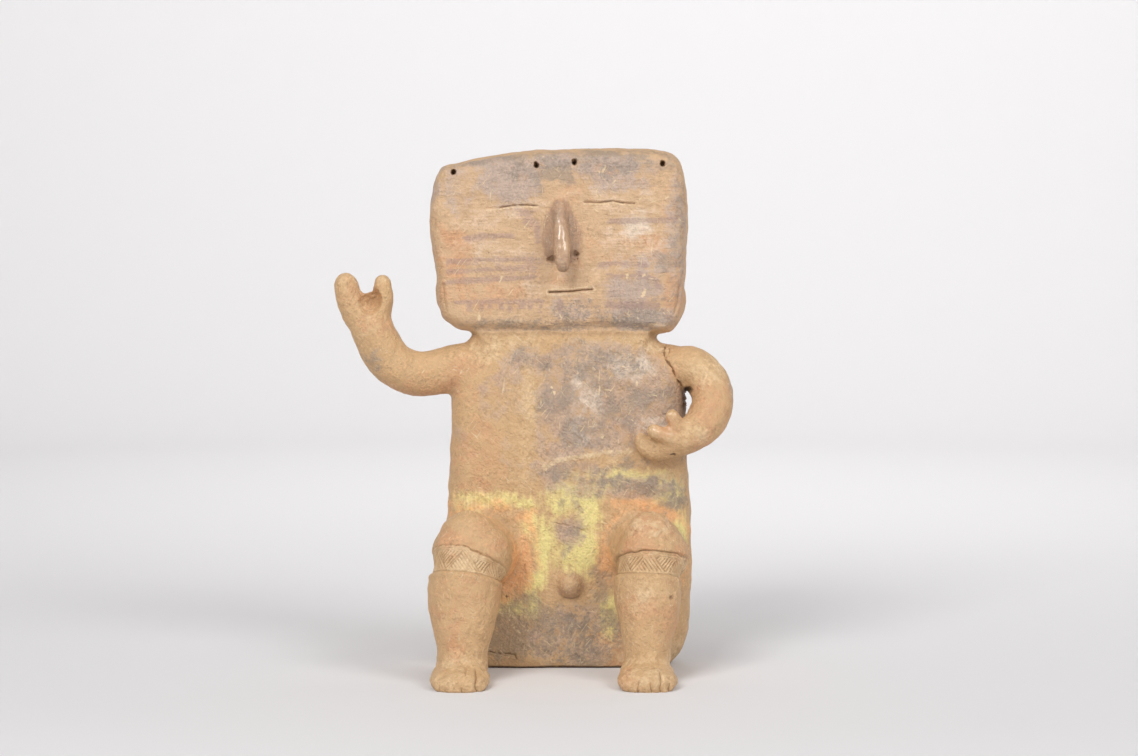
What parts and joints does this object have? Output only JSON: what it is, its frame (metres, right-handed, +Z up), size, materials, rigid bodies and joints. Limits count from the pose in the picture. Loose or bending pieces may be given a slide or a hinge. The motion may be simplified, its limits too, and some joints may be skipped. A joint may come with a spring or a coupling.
{
  "type": "seated pottery slab figure",
  "caption": "Seated fired-clay figure: flat slab body and head, slit eyes and mouth, ridged nose, one forked hand raised and one laid on the chest, banded calves.",
  "frame": {"origin": "centre of the slab's flat underside, on the ground", "axes": "+Z up, the face and feet towards -Y, +X to the side of the arm laid on the chest (the figure's left)"},
  "size_m": [0.3449, 0.166, 0.4508],
  "materials": {
    "fired_clay": "unglazed burnished buff clay with worn paint"
  },
  "bodies": {
    "root": {"slab_figure": "fired_clay"}
  },
  "joints": []
}
